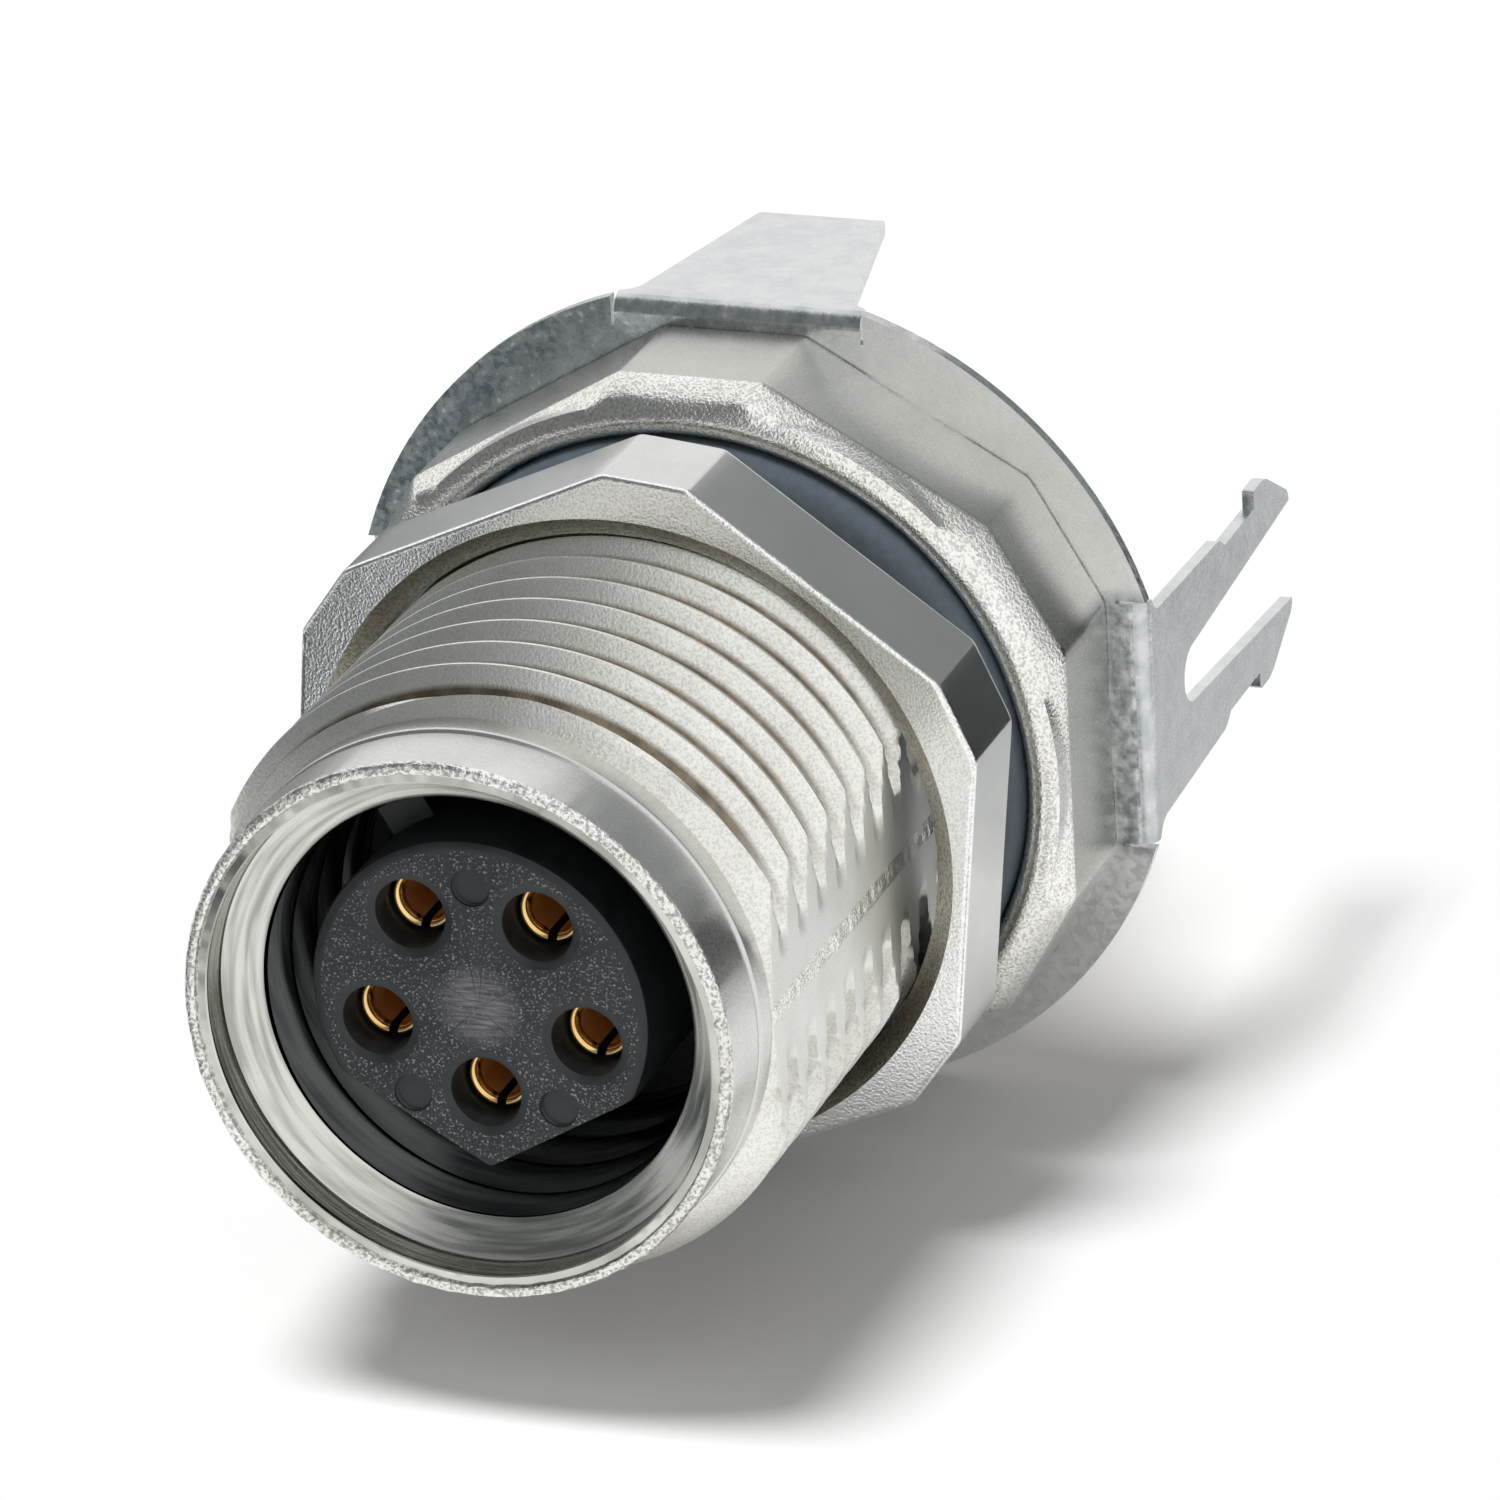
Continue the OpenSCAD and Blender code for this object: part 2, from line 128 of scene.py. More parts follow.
def wind_thread(name, tooth, crest, root, pitch, back, front, run_out):
    """Winds a right-hand thread between two stations; the rule run_out gives its radius at a station."""
    first = math.floor(back / pitch) - 2
    last = math.ceil(front / pitch) + 1
    points = []
    for turn in range(first, last):
        for along, depth in tooth:
            points.append((crest + (root - crest) * depth, pitch * (turn + along)))
    piece = draw_outline(name, points)
    bpy.ops.object.mode_set(mode="OBJECT")
    screw = piece.modifiers.new("winding", "SCREW")
    screw.axis = "Y"
    screw.angle = -TURN
    screw.screw_offset = -pitch * MM
    screw.steps = STEPS
    screw.render_steps = STEPS
    screw.use_merge_vertices = True
    screw.merge_threshold = MERGE
    bpy.ops.object.modifier_apply(modifier=screw.name)

    def end_thread(radius, station, angle):
        held = min(max(station, back), front)
        return run_out(radius, held), held, angle

    move_points(piece, end_thread)
    close_mesh(piece)
    return piece


def press_hexagon(piece, flat, corner, turn, least):
    """Presses the outermost points into a hexagon with flattened corners and slightly rounded edges."""
    near, pull, sharpness = math.radians(1.6), 0.35, 300
    lean = math.atan2(corner - flat * math.cos(TURN / 12), flat * math.sin(TURN / 12))
    edges = [turn + side * TURN / 6 + sign * lean for side in range(6) for sign in (-1, 1)]

    def press(radius, station, angle):
        if radius < PRESSED_LEAST:
            return radius, station, angle
        for edge in edges:
            off = math.remainder(angle - edge, TURN)
            if abs(off) < near:
                angle = edge + pull * off
                break
        total = 0.0
        for side in range(12):
            reach = corner if side % 2 else flat
            total += max(0.0, math.cos(angle - turn - side * TURN / 12) / reach) ** sharpness
        return max(least, radius - PRESSED + total ** (-1 / sharpness)), station, angle

    move_points(piece, press)


def pick_pieces(first, *others):
    """Selects these pieces alone and makes the first one active."""
    bpy.ops.object.select_all(action="DESELECT")
    for piece in (first, *others):
        piece.select_set(True)
    bpy.context.view_layer.objects.active = first


def join_pieces(first, *others):
    """Joins the other pieces to the first and closes the seams."""
    pick_pieces(first, *others)
    bpy.ops.object.join()
    close_mesh(first)


def smooth_faces(piece, degrees):
    """Shades a piece smooth, apart from the edges that turn by more than an angle."""
    pick_pieces(piece)
    bpy.ops.object.shade_smooth_by_angle(angle=math.radians(degrees))


front_outline = [
    (COLLAR_R, COLLAR_BACK), (COLLAR_R, 8.91), (COLLAR_R, 9.25), (COLLAR_R, 9.29), (4.47, 9.31), (4.435, 9.325),
    (4.435, 9.34), (4.44, 9.355), (4.44, 9.4), (4.44, 10.38), (4.44, 10.44), (4.43, 10.5), (4.4, 10.54),
    (4.36, RIM_FRONT), (4.3, RIM_FRONT), (4.26, 10.535), (4.24, 10.5), (4.23, 10.47), (4.11, 10.47),
    (4.085, 10.455), (4.08, 10.42), (4.08, 10.37), (4.08, 10.04), (4.08, 9.99), (4.065, 9.955), (4.01, 9.922),
    (3.59, 9.675), (3.53, 9.64), (3.505, 9.61), (CORE_R, SCREW_FRONT),
]
bead_middle = (BEAD_R + BEAD_IN_R) / 2
bead_half = (BEAD_R - BEAD_IN_R) / 2
bead_arc = []
for part in range(2, 9):
    lean = math.pi * part / 8
    bead_arc.append((bead_middle + bead_half * math.cos(lean), bead_half * (math.sin(lean) - 1)))
rear_outline = [
    (CORE_R, SCREW_BACK), (CORE_R, 5.2), (4.14, 5.2), (4.14, -3.26), (4.155, -3.305), (4.2, -3.32), (5.06, -3.32),
    (5.105, -3.305), (5.12, -3.26), (5.12, -3.02), (4.87, -3.02), (4.87, -2.82), (PRESSED - 0.12, -2.82),
    (PRESSED - 0.035, -2.785), (PRESSED, -2.7), (PRESSED, -2.62), (PRESSED, -0.74), (PRESSED, -0.67),
    (PRESSED - 0.025, -0.6), (PRESSED - 0.07, -0.5), (PRESSED - 0.13, -0.38), (PRESSED - 0.2, -0.24),
    (PRESSED - 0.27, -0.15), *bead_arc, (BEAD_IN_R, -0.9), (5.45, -0.95), (4.59, -0.95), (NECK_R, -0.9),
    (NECK_R, NECK_FRONT),
]
shell_rear = turn_outline("shell_rear", rear_outline)
press_hexagon(shell_rear, FLANGE_FLAT, FLANGE_CORNER, 0, BEAD_R)
cast_shell = turn_outline("cast_shell", front_outline)


def roughen_rim(radius, station, angle):
    """Makes the rim's edges slightly uneven, as they are after casting."""
    if station > RIM_BACK + 0.01 and radius > 4.2:
        place = Vector((math.cos(angle) * 22, math.sin(angle) * 22, radius * 9))
        radius += 0.014 * noise.noise(place)
        station += 0.012 * noise.noise(place * 1.3)
    return radius, min(station, RIM_FRONT), angle


move_points(cast_shell, roughen_rim)
TOOTH = ((0, 0), (0.03, 0.01), (0.055, 0.05), (0.15, 0.33), (0.235, 0.6), (0.26, 0.68), (0.385, 1), (0.5, 1),
         (0.615, 1), (0.74, 0.68), (0.765, 0.6), (0.85, 0.33), (0.945, 0.05), (0.97, 0.01))


def end_fastening(radius, station):
    """Runs the fastening thread out in a cone at either end."""
    back_cone = NECK_R + (CREST_R - NECK_R) * (station - NECK_FRONT) / (THREAD_BACK - NECK_FRONT)
    front_cone = COLLAR_R + (CREST_R - COLLAR_R) * (COLLAR_BACK - station) / (COLLAR_BACK - THREAD_FRONT)
    return min(radius, back_cone, front_cone)


def end_mating(radius, station):
    """Fades the mating thread's grooves out at either end."""
    inside = min(SCREW_FRONT - station, station - SCREW_BACK)
    return CORE_R + (radius - CORE_R) * min(1.0, inside / SCREW_FADE)


fastening_thread = wind_thread("fastening_thread", TOOTH, CREST_R, ROOT_R, PITCH, NECK_FRONT, COLLAR_BACK,
                               end_fastening)
mating_thread = wind_thread("mating_thread", TOOTH, CORE_R, SCREW_ROOT_R, SCREW_PITCH, SCREW_BACK, SCREW_FRONT,
                            end_mating)
join_pieces(cast_shell, shell_rear, fastening_thread, mating_thread)
for point in cast_shell.data.vertices:
    if FLAT_BACK < -point.co.y / MM < FLAT_FRONT and abs(point.co.x) > FLAT_X * MM:
        seam = 0.0
        if abs(point.co.z) < SEAM_HALF * MM:
            seam = SEAM_H + SEAM_GRAIN * noise.noise(Vector((point.co.y * 14, point.co.z * 30, point.co.x)) / MM)
        point.co.x = math.copysign((FLAT_X + seam) * MM, point.co.x)
close_mesh(cast_shell)
smooth_faces(cast_shell, 28)


def new_finish(name, metallic, roughness):
    """Starts a material and hands over its node tree and its shader."""
    finish = bpy.data.materials.new(name)
    finish.use_nodes = True
    tree = finish.node_tree
    shader = tree.nodes["Principled BSDF"]
    shader.inputs["Metallic"].default_value = metallic
    shader.inputs["Roughness"].default_value = roughness
    return finish, tree, shader


def add_grain(tree, per_metre, detail=2.0, stretch=(1, 1, 1)):
    """Adds a noise in Object coordinates, stretched along the piece's axes."""
    place = tree.nodes.new("ShaderNodeTexCoord")
    mapping = tree.nodes.new("ShaderNodeMapping")
    mapping.inputs["Scale"].default_value = stretch
    grain = tree.nodes.new("ShaderNodeTexNoise")
    grain.inputs["Scale"].default_value = per_metre
    grain.inputs["Detail"].default_value = detail
    tree.links.new(place.outputs["Object"], mapping.inputs["Vector"])
    tree.links.new(mapping.outputs["Vector"], grain.inputs["Vector"])
    return grain.outputs["Fac"]


def add_ramp(tree, value, *stops):
    """Turns a value into a colour by (position, (red, green, blue)) stops."""
    ramp = tree.nodes.new("ShaderNodeValToRGB")
    while len(ramp.color_ramp.elements) < len(stops):
        ramp.color_ramp.elements.new(1.0)
    for element, (position, colour) in zip(ramp.color_ramp.elements, stops):
        element.position = position
        element.color = (*colour, 1)
    tree.links.new(value, ramp.inputs["Fac"])
    return ramp.outputs["Color"]


def add_range(tree, value, low, high, start=0.3, end=0.7):
    """Maps a value between start and end onto a range of numbers, and holds it there."""
    spread = tree.nodes.new("ShaderNodeMapRange")
    spread.inputs["From Min"].default_value = start
    spread.inputs["From Max"].default_value = end
    spread.inputs["To Min"].default_value = low
    spread.inputs["To Max"].default_value = high
    tree.links.new(value, spread.inputs["Value"])
    return spread.outputs["Result"]


def add_bump(tree, shader, height, depth, strength, below=None):
    """Adds a bump to the shader, on top of another one if below is given."""
    bump = tree.nodes.new("ShaderNodeBump")
    bump.inputs["Strength"].default_value = strength
    bump.inputs["Distance"].default_value = depth
    tree.links.new(height, bump.inputs["Height"])
    if below is not None:
        tree.links.new(below, bump.inputs["Normal"])
    tree.links.new(bump.outputs["Normal"], shader.inputs["Normal"])
    return bump.outputs["Normal"]


def add_mix(tree, blend, first, second, factor=1.0):
    """Mixes two colours; the factor is a number or a value from the tree."""
    mix = tree.nodes.new("ShaderNodeMix")
    mix.data_type = "RGBA"
    mix.blend_type = blend
    if isinstance(factor, float):
        mix.inputs[0].default_value = factor
    else:
        tree.links.new(factor, mix.inputs[0])
    tree.links.new(first, mix.inputs[6])
    tree.links.new(second, mix.inputs[7])
    return mix.outputs[2]


def add_axis(tree, axis):
    """Adds the place along one of the piece's axes, in metres."""
    place = tree.nodes.new("ShaderNodeTexCoord")
    split = tree.nodes.new("ShaderNodeSeparateXYZ")
    tree.links.new(place.outputs["Object"], split.inputs["Vector"])
    return split.outputs[axis]


def add_reach(tree):
    """Adds the distance from the socket's axis, in metres."""
    place = tree.nodes.new("ShaderNodeTexCoord")
    flatten = tree.nodes.new("ShaderNodeVectorMath")
    flatten.operation = "MULTIPLY"
    flatten.inputs[1].default_value = (1, 0, 1)
    reach = tree.nodes.new("ShaderNodeVectorMath")
    reach.operation = "LENGTH"
    tree.links.new(place.outputs["Object"], flatten.inputs[0])
    tree.links.new(flatten.outputs["Vector"], reach.inputs[0])
    return reach.outputs["Value"]


def add_math(tree, operation, *values):
    """Adds a calculation on one or two values."""
    work = tree.nodes.new("ShaderNodeMath")
    work.operation = operation
    for value, socket in zip(values, work.inputs):
        tree.links.new(value, socket)
    return work.outputs["Value"]


def cast_nickel(name, dark, light, pit, grain, rough, depth):
    """Plated casting: a faintly cloudy nickel tint, a fine sandy grain and darker pits between the grains."""
    rough_low, rough_high = rough
    finish, tree, shader = new_finish(name, 1.0, rough_high)
    sand = add_grain(tree, grain, 2.5)
    cloud = add_grain(tree, 900, 2)
    tint = add_ramp(tree, cloud, (0.35, dark), (0.65, light))
    pits = add_ramp(tree, sand, (0.38, (pit, pit, pit)), (0.54, (1, 1, 1)))
    tree.links.new(add_mix(tree, "MULTIPLY", tint, pits), shader.inputs["Base Color"])
    tree.links.new(add_range(tree, sand, rough_high, rough_low), shader.inputs["Roughness"])
    add_bump(tree, shader, sand, depth, 1.0)
    return finish


def turned_nickel(name, dark, light, lines_per_metre, depth):
    """Machined nickel with fine lines round the axis."""
    finish, tree, shader = new_finish(name, 1.0, 0.25)
    lines = add_grain(tree, lines_per_metre, 2, (0.04, 1, 0.04))
    tree.links.new(add_ramp(tree, lines, (0.35, dark), (0.6, light)), shader.inputs["Base Color"])
    tree.links.new(add_range(tree, lines, 0.18, 0.34), shader.inputs["Roughness"])
    add_bump(tree, shader, lines, depth, 1.0)
    return finish


SAND = {"dark": (0.86, 0.85, 0.8), "light": (0.92, 0.915, 0.88), "pit": 0.84, "grain": 22000, "rough": (0.34, 0.48),
        "depth": 6e-6}
SATIN = {"pit": 0.95, "grain": 21000, "rough": (0.26, 0.32), "depth": 1e-6}
sandy = cast_nickel("sandy_nickel", **SAND)
satin = cast_nickel("satin_nickel", (0.69, 0.69, 0.67), (0.74, 0.74, 0.715), **SATIN)
coarse = cast_nickel("coarse_nickel", (0.9, 0.89, 0.84), (0.97, 0.965, 0.94), pit=0.66, grain=20000,
                     rough=(0.15, 0.3), depth=1.2e-5)
mouth = turned_nickel("mouth_nickel", (0.4, 0.4, 0.37), (0.72, 0.72, 0.68), lines_per_metre=14000, depth=6e-6)
# Painted shade: the mating thread far inside the socket is near black for the shade there; its turned lines belong
# to the nickel.
socket_shade = turned_nickel("socket_shade_nickel", (0.045, 0.05, 0.052), (0.1, 0.105, 0.105), lines_per_metre=12000, depth=4e-6)
threaded = cast_nickel("threaded_nickel", **SAND)
tree = threaded.node_tree
shader = tree.nodes["Principled BSDF"]
# Painted shade: away from the flats, the roots of the fastening thread turn a mottled dark brown, standing in for
# the shadow behind each crest.
low = add_range(tree, add_reach(tree), 0.0, 1.0, 0.00476, 0.00468)
beside_flats = add_range(tree, add_math(tree, "ABSOLUTE", add_axis(tree, "Z")), 0.0, 1.0, 0.0012, 0.0028)
painted_root_shade = add_ramp(tree, add_grain(tree, 3000, 3), (0.35, (0.16, 0.13, 0.095)), (0.65, (0.3, 0.255, 0.195)))
tint = shader.inputs["Base Color"].links[0].from_socket
tree.links.new(add_mix(tree, "MIX", tint, painted_root_shade, add_math(tree, "MULTIPLY", low, beside_flats)),
               shader.inputs["Base Color"])
edge = cast_nickel("edge_nickel", (0.84, 0.83, 0.78), (0.95, 0.945, 0.92), pit=0.5, grain=15000,
                   rough=(0.2, 0.38), depth=1.8e-5)
face_flat = cast_nickel("flat_nickel", (0.79, 0.79, 0.76), (0.86, 0.86, 0.83), pit=0.93, grain=22000,
                        rough=(0.38, 0.46), depth=2e-6)
# Painted shade: the flange's hexagon faces get a darker copy of the satin nickel.
shaded_facet = cast_nickel("shaded_facet_nickel", (0.54, 0.545, 0.51), (0.585, 0.585, 0.55), **SATIN)
shell_finishes = [sandy, satin, coarse, mouth, socket_shade, threaded, edge, face_flat, shaded_facet]
for finish in shell_finishes:
    cast_shell.data.materials.append(finish)
for face in cast_shell.data.polygons:
    x, y, z = (value / MM for value in face.center)
    radius, station = math.hypot(x, z), -y
    flat = abs(abs(x) - FLAT_X) < 0.05 and abs(face.normal.x) > 0.8 and FLAT_BACK < station < FLAT_FRONT
    finish = sandy
    if radius < MOUTH_R and station < 10.48:
        finish = socket_shade if station < 9.62 else mouth
    elif station > RIM_BACK:
        finish = edge
    elif radius > BEAD_IN_R - 0.02 and station > -0.66 or flat and abs(z) < 0.14:
        finish = coarse
    elif flat:
        finish = face_flat
    elif station > COLLAR_BACK:
        finish = satin
    elif station < -0.5:
        finish = shaded_facet
    elif THREAD_BACK < station < THREAD_FRONT:
        finish = threaded
    face.material_index = shell_finishes.index(finish)
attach(cast_shell, "connector")
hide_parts("shell")


# Contact carrier: an insert of charcoal plastic, pushed into the shell from behind up to its round base.
# Its keyed nose stands in the socket, with the holes for the five contacts and three ejector marks
# moulded into the face.
NOSE_R, NOSE_FRONT, BASE_R, BASE_BACK, BASE_FRONT = 2.75, 9.55, 4.12, 1.2, 5.2
VEE_REACH, VEE_SIDES = 2.33, (-60, -120)
RIB_SIZE, RIB_PLACE, RIB_TURN = (1.4, 3.25, 0.8), (2.5, -6.725, 0), -120
HOLE_R, COLLAR_HOLE_R, TOOL_TOP, ROUND_STEPS = 0.56, 0.67, 9.8, 192
CONTACT_SPOTS = [(1.76, 126), (1.76, 54), (1.76, -14), (1.76, 194), (1.45, 270)]
MARK_SPOTS = [(1.98, 90), (1.98, -53), (1.98, -127)]


def cut_piece(piece, tool, operation="DIFFERENCE"):
    """Cuts a piece with a tool, or joins the tool on, and takes the tool away."""
    pick_pieces(piece)
    work = piece.modifiers.new("cut", "BOOLEAN")
    work.operation = operation
    work.solver = "EXACT"
    work.object = tool
    bpy.ops.object.modifier_apply(modifier=work.name)
    bpy.data.objects.remove(tool)


def shift_piece(piece, radius, degrees):
    """Moves a turned piece off the axis, in its mesh."""
    angle = math.radians(degrees)
    piece.data.transform(Matrix.Translation((radius * math.cos(angle) * MM, 0, radius * math.sin(angle) * MM)))


moulded_carrier = turn_outline("moulded_carrier", [
    (0, 5.0), (NOSE_R, 5.0), (NOSE_R, 9.44), (2.72, 9.51), (2.66, 9.545), (2.58, NOSE_FRONT), (0, NOSE_FRONT)],
    ROUND_STEPS)
bpy.ops.object.mode_set(mode="EDIT")
for degrees in VEE_SIDES:
    normal = Vector((math.cos(math.radians(degrees)), 0, math.sin(math.radians(degrees))))
    bpy.ops.mesh.select_all(action="SELECT")
    bpy.ops.mesh.bisect(plane_co=normal * VEE_REACH * MM, plane_no=normal, use_fill=True, clear_outer=True,
                        threshold=MERGE)
bpy.ops.object.mode_set(mode="OBJECT")
bpy.ops.mesh.primitive_cube_add(size=1)
key_rib = bpy.context.object
key_rib.data.transform(Matrix.Diagonal((*(size * MM for size in RIB_SIZE), 1)))
key_rib.data.transform(Matrix.Translation([place * MM for place in RIB_PLACE]))
key_rib.data.transform(Matrix.Rotation(math.radians(RIB_TURN), 4, "Y"))
cut_piece(moulded_carrier, key_rib, "UNION")
carrier_base = turn_outline("carrier_base", [
    (0, BASE_BACK), (4.06, BASE_BACK), (BASE_R, 1.26), (BASE_R, 2.95), (3.58, 2.95), (3.58, 3.55), (BASE_R, 3.55),
    (BASE_R, 5.14), (4.06, BASE_FRONT), (0, BASE_FRONT)], ROUND_STEPS)
cut_piece(moulded_carrier, carrier_base, "UNION")
for reach, degrees in CONTACT_SPOTS:
    drill = turn_outline("hole_drill", [
        (0, 0.5), (COLLAR_HOLE_R, 0.5), (COLLAR_HOLE_R, 5.21), (HOLE_R, 5.21), (HOLE_R, 9.46), (0.575, 9.5),
        (0.61, 9.52), (0.66, 9.533), (0.7, 9.546), (0.76, 9.57), (0.76, TOOL_TOP), (0, TOOL_TOP)], 64)
    shift_piece(drill, reach, degrees)
    cut_piece(moulded_carrier, drill)
for reach, degrees in MARK_SPOTS:
    punch = turn_outline("mark_punch", [(0, 9.48), (0.28, 9.48), (0.31, 9.51), (0.31, TOOL_TOP), (0, TOOL_TOP)], 48)
    shift_piece(punch, reach, degrees)
    cut_piece(moulded_carrier, punch)
close_mesh(moulded_carrier)
smooth_faces(moulded_carrier, 30)

charcoal, tree, shader = new_finish("charcoal_plastic", 0.0, 0.5)
speck = add_grain(tree, 24000, 2)
cloud = add_grain(tree, 1500, 3)
tint = add_ramp(tree, cloud, (0.35, (0.013, 0.017, 0.02)), (0.7, (0.022, 0.028, 0.032)))
grains = add_ramp(tree, speck, (0.57, (0, 0, 0)), (0.7, (0.26, 0.26, 0.28)))
centre = add_range(tree, add_reach(tree), 1.0, 0.0, 0.00035, 0.00075)
level_scratch = add_ramp(tree, add_grain(tree, 13000, 3, (0.2, 1, 2.2)), (0.36, (0.05, 0.05, 0.055)),
                         (0.64, (0.2, 0.2, 0.215)))
cross_scratch = add_ramp(tree, add_grain(tree, 13000, 3, (2.0, 1, 0.4)), (0.5, (0.04, 0.04, 0.045)),
                         (0.7, (0.17, 0.17, 0.18)))
rubbed = add_mix(tree, "LIGHTEN", level_scratch, cross_scratch)
grained = add_mix(tree, "ADD", tint, grains)
tree.links.new(add_mix(tree, "MIX", grained, rubbed, centre), shader.inputs["Base Color"])
tree.links.new(add_range(tree, speck, 0.6, 0.34), shader.inputs["Roughness"])
add_bump(tree, shader, speck, 1.6e-5, 1.0)
smooth_charcoal, tree, shader = new_finish("smooth_charcoal", 0.0, 0.45)
cloud = add_grain(tree, 4000, 3)
tree.links.new(add_ramp(tree, cloud, (0.35, (0.011, 0.014, 0.016)), (0.7, (0.02, 0.025, 0.028))),
               shader.inputs["Base Color"])
tree.links.new(add_range(tree, cloud, 0.36, 0.5), shader.inputs["Roughness"])
add_bump(tree, shader, cloud, 2e-6, 0.6)
moulded_carrier.data.materials.append(charcoal)
moulded_carrier.data.materials.append(smooth_charcoal)
for face in moulded_carrier.data.polygons:
    x, y, z = (value / MM for value in face.center)
    smooth = y > -5.3 or math.hypot(x, z) > NOSE_R - 0.2
    for reach, degrees in (*CONTACT_SPOTS, *MARK_SPOTS):
        angle = math.radians(degrees)
        limit = 0.69 if (reach, degrees) in CONTACT_SPOTS else 0.33
        smooth = smooth or math.hypot(x - reach * math.cos(angle), z - reach * math.sin(angle)) < limit
    face.material_index = 1 if smooth else 0
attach(moulded_carrier, "connector")
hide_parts("contact_carrier")


# Carrier seal: a black rubber ring in the groove of the base, squeezed against the shell's bore.
# It keeps its solid's shape and gets a matt rubber surface.
ring_rubber, tree, shader = new_finish("ring_rubber", 0.0, 0.6)
bloom = add_grain(tree, 5000, 3)
tree.links.new(add_ramp(tree, bloom, (0.3, (0.01, 0.01, 0.01)), (0.75, (0.028, 0.028, 0.027))),
               shader.inputs["Base Color"])
tree.links.new(add_range(tree, bloom, 0.5, 0.7), shader.inputs["Roughness"])
add_bump(tree, shader, bloom, 4e-6, 0.6)
carrier_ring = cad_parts["carrier_seal"]
carrier_ring.data.materials.clear()
carrier_ring.data.materials.append(ring_rubber)


# Contacts: five turned brass sockets, gold plated, pressed into the carrier from behind.
# Each has a slotted sleeve in front, a collar that stops in the base, and a solder tail.
SLEEVE_FRONT, BORE_R, BORE_BACK, LIP_R, LIP_H = 8.95, 0.36, 5.65, 0.47, 0.15
SLOT_SIZE, SLOT_MIDDLE = (0.15, 2.4, 1.4), 7.95
gold, tree, shader = new_finish("polished_gold", 1.0, 0.18)
wash = add_grain(tree, 2500, 2)
lines = add_grain(tree, 6000, 2, (0.2, 3, 0.2))
tree.links.new(add_ramp(tree, wash, (0.3, (0.86, 0.53, 0.17)), (0.7, (0.98, 0.7, 0.31))),
               shader.inputs["Base Color"])
tree.links.new(add_range(tree, lines, 0.14, 0.26), shader.inputs["Roughness"])
add_bump(tree, shader, lines, 2e-6, 0.5)
bore_gold, tree, shader = new_finish("bore_gold", 1.0, 0.5)
tree.links.new(add_ramp(tree, add_grain(tree, 2500, 2), (0.3, (0.98, 0.58, 0.2)), (0.7, (1.0, 0.66, 0.27))),
               shader.inputs["Base Color"])
tree.links.new(add_range(tree, add_grain(tree, 6000, 2, (0.2, 3, 0.2)), 0.46, 0.6), shader.inputs["Roughness"])
lip = []
for part in range(8):
    lean = math.pi * part / 14
    lip.append((LIP_R - (LIP_R - BORE_R) * math.cos(lean), SLEEVE_FRONT - LIP_H + LIP_H * math.sin(lean)))
for number, (reach, degrees) in enumerate(CONTACT_SPOTS, 1):
    contact = turn_outline(f"gold_contact_{number}", [
        (0, BORE_BACK), (BORE_R, BORE_BACK), *lip, (0.488, 8.943), (0.5, 8.92), (0.5, 5.2), (0.62, 5.2),
        (0.65, 5.17), (0.65, 4.43), (0.62, 4.4), (0.48, 4.4), (0.48, -2.55), (0.44, -2.6), (0.3, -2.62), (0.3, -9.8),
        (0.15, -10.2), (0, -10.2)], 64)
    bpy.ops.mesh.primitive_cube_add(size=1)
    saw = bpy.context.object
    saw.data.transform(Matrix.Diagonal((*(size * MM for size in SLOT_SIZE), 1)))
    saw.data.transform(Matrix.Translation((0, -SLOT_MIDDLE * MM, 0)))
    cut_piece(contact, saw)
    contact.data.materials.clear()
    contact.data.materials.append(gold)
    contact.data.materials.append(bore_gold)
    for face in contact.data.polygons:
        x, y, z = (value / MM for value in face.center)
        in_bore = math.hypot(x, z) < BORE_R + 0.005 and BORE_BACK - 0.05 < -y < SLEEVE_FRONT - 0.14
        face.material_index = 1 if in_bore else 0
    shift_piece(contact, reach, degrees)
    smooth_faces(contact, 32)
    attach(contact, "connector")
    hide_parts(f"contact_{number}")


# Sealing compound: black resin poured in behind the carrier round the contacts' shanks.
# It keeps its solid's shape and gets a glossy, slightly uneven surface.
resin, tree, shader = new_finish("cast_resin", 0.0, 0.3)
wave = add_grain(tree, 900, 2)
tree.links.new(add_ramp(tree, wave, (0.3, (0.008, 0.008, 0.009)), (0.75, (0.02, 0.02, 0.021))),
               shader.inputs["Base Color"])
tree.links.new(add_range(tree, wave, 0.2, 0.38), shader.inputs["Roughness"])
add_bump(tree, shader, wave, 4e-5, 0.7)
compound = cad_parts["sealing_compound"]
compound.data.materials.clear()
compound.data.materials.append(resin)


# Shield plate: tinned sheet, stamped and folded, held behind the flange by the staked spigot.
# Two plain lugs stand top and bottom, and two slotted forks at the sides snap into a board.
PLATE_R, PLATE_HOLE_R, PLATE_FRONT, SHEET = 7.04, 4.89, -2.82, 0.2
LUG_FACE, FOLD_R, ROOT, SLIT, SLIT_PAST = 6.7, 0.3, 4.2, 0.05, 0.2
FOLD_LINE, ROOT_HALF = LUG_FACE - FOLD_R, ROOT / 2
FORK_SLOT_R, FORK_SLOT_END, JOINED = 0.49, 5.12, 1e-6
plain_half = [(1.93, 3.24), (1.84, 3.34), (1.8, 3.47), (1.09, 6.98)]
plain_rim = plain_half + [(-across, back) for across, back in reversed(plain_half)]
fork_half = [(1.93, 3.24), (1.85, 3.34), (1.81, 3.47), (1.67, 6.7), (1.47, 6.98), (1.47, 8.58), (1.78, 8.58),
             (1.78, 9.2), (1.05, 10.45), (0.88, 10.45), (FORK_SLOT_R, FORK_SLOT_END)]
fork_round = []
